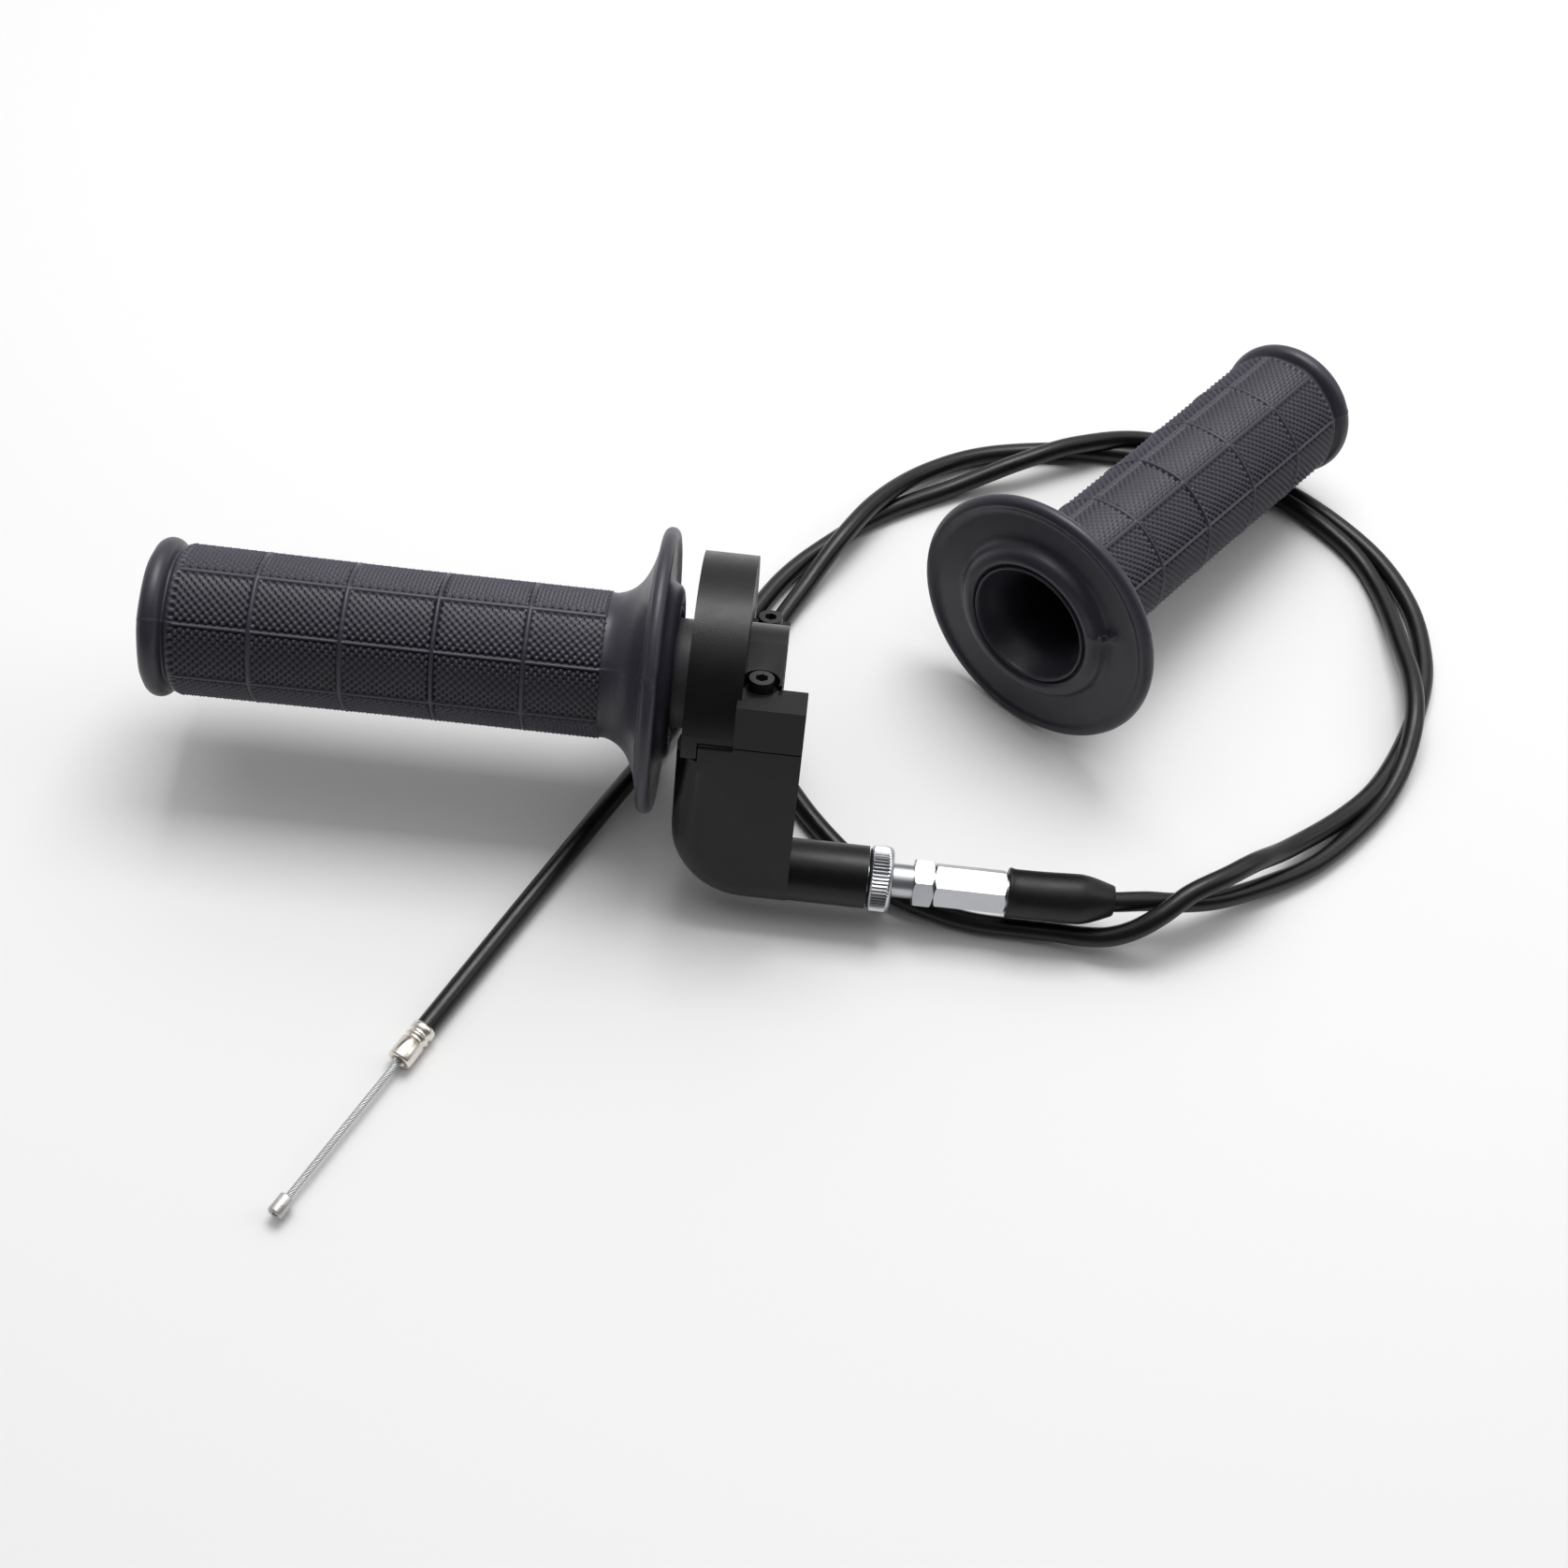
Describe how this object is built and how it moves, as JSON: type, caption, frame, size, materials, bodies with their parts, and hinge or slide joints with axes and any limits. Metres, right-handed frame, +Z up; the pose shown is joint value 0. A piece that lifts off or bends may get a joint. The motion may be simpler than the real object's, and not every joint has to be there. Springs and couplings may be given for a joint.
{
  "type": "motorcycle throttle grip set",
  "caption": "Twist throttle with flanged rubber grip, clamp-on elbow housing, screw adjuster and looped cable, with the matching left grip beside it.",
  "frame": {"origin": "middle of the floor rectangle under the rigid pieces, on the floor that the set lies on", "axes": "+X along the handlebar axis towards the middle of the bar, +Y towards the rider, +Z up"},
  "size_m": [0.3117, 0.2678, 0.0737],
  "materials": {
    "grip_rubber": "matt moulded rubber, charcoal with a slight violet tint",
    "tube_plastic": "satin grey moulded nylon",
    "housing_plastic": "black satin moulding with a fine grain",
    "screw_steel": "blackened steel",
    "nut_zinc": "zinc plated",
    "bright_zinc": "bright zinc plate over turned steel",
    "boot_rubber": "smooth black rubber",
    "cable_plastic": "semi-gloss extruded black plastic",
    "ferrule_nickel": "nickel plated, slightly warm",
    "wire_steel": "stranded steel wire",
    "nipple_metal": "cast zinc alloy"
  },
  "bodies": {
    "housing_set": {"housing_body": "housing_plastic", "housing_cap": "housing_plastic", "cap_screw_front": "screw_steel", "cap_screw_rear": "screw_steel", "captive_nut_front": "nut_zinc", "captive_nut_rear": "nut_zinc", "adjuster_barrel": "bright_zinc", "cable_sheath": "cable_plastic", "cable_sheath_end": "cable_plastic", "cable_ferrule": "ferrule_nickel", "inner_wire_lead": "wire_steel"},
    "throttle": {"right_grip": "grip_rubber", "throttle_tube": "tube_plastic", "drum_nipple": "nipple_metal"},
    "ring": {"knurled_ring": "bright_zinc"},
    "nut": {"lock_nut": "bright_zinc"},
    "cable_end": {"sheath_top_cap": "bright_zinc", "cable_boot": "boot_rubber"},
    "hex": {"hex_adjuster": "bright_zinc"},
    "wire_end": {"wire_tail": "wire_steel", "wire_end_nipple": "nipple_metal"},
    "spare_grip": {"left_grip": "grip_rubber"}
  },
  "joints": [
    {"name": "throttle_turn", "type": "hinge", "parent": "housing_set", "child": "throttle", "pos_m": [-0.0266, -0.0497, 0.0405], "axis": [-1, 0, 0], "range_deg": [0, 75], "deforming": ["inner_wire_lead"]},
    {"name": "wire_pull", "type": "slide", "parent": "housing_set", "child": "wire_end", "axis": [0.436, 0.9, 0], "range_m": [0, 0.0289]},
    {"name": "knurled_ring_turn", "type": "hinge", "parent": "housing_set", "child": "ring", "pos_m": [0.0295, -0.08187, 0.01268], "axis": [1, 0, 0], "continuous": true},
    {"name": "lock_nut_turn", "type": "hinge", "parent": "housing_set", "child": "nut", "pos_m": [0.0395, -0.08187, 0.01268], "axis": [1, 0, 0], "continuous": true},
    {"name": "cable_end_travel", "type": "slide", "parent": "housing_set", "child": "cable_end", "axis": [1, 0, 0], "range_m": [0, 0.0038]},
    {"name": "hex_turn", "type": "hinge", "parent": "cable_end", "child": "hex", "pos_m": [0.0502, -0.08187, 0.01268], "axis": [1, 0, 0], "range_deg": [0, 1080]},
    {"name": "left_grip_lift", "type": "slide", "parent": "housing_set", "child": "spare_grip", "axis": [0, 0, 1], "range_m": [0, 0.1]}
  ],
  "couplings": [
    {"joint": "wire_pull", "follows": "throttle_turn", "m_per_rad": 0.022},
    {"joint": "cable_end_travel", "follows": "hex_turn", "m_per_rad": 0.00019894}
  ]
}
